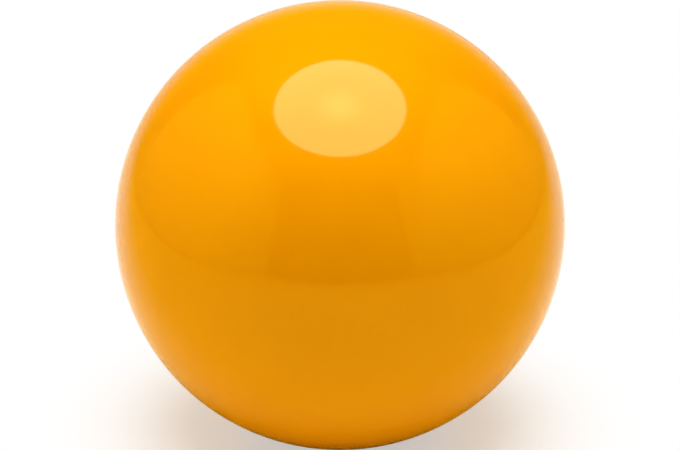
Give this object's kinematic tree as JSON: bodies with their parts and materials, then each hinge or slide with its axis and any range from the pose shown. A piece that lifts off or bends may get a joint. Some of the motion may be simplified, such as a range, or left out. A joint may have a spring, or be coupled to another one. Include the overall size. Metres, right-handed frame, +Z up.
{
  "type": "billiard ball",
  "caption": "Plain amber-yellow billiard ball: a polished coloured resin shell cast round a filled core, struck with a cue in games played on a cloth-covered table.",
  "frame": {"origin": "centre of the ball", "axes": "+Z up, from the plugged pin hole at the bottom of the ball through its centre; every other direction is alike, and +Y points away from the camera that took the picture"},
  "size_m": [0.0616, 0.0616, 0.0616],
  "materials": {
    "filled_core": "matte",
    "amber_shell": "polished",
    "amber_plug": "polished"
  },
  "bodies": {
    "root": {"core": "filled_core", "outer_shell": "amber_shell", "pin_plug": "amber_plug"}
  },
  "joints": []
}
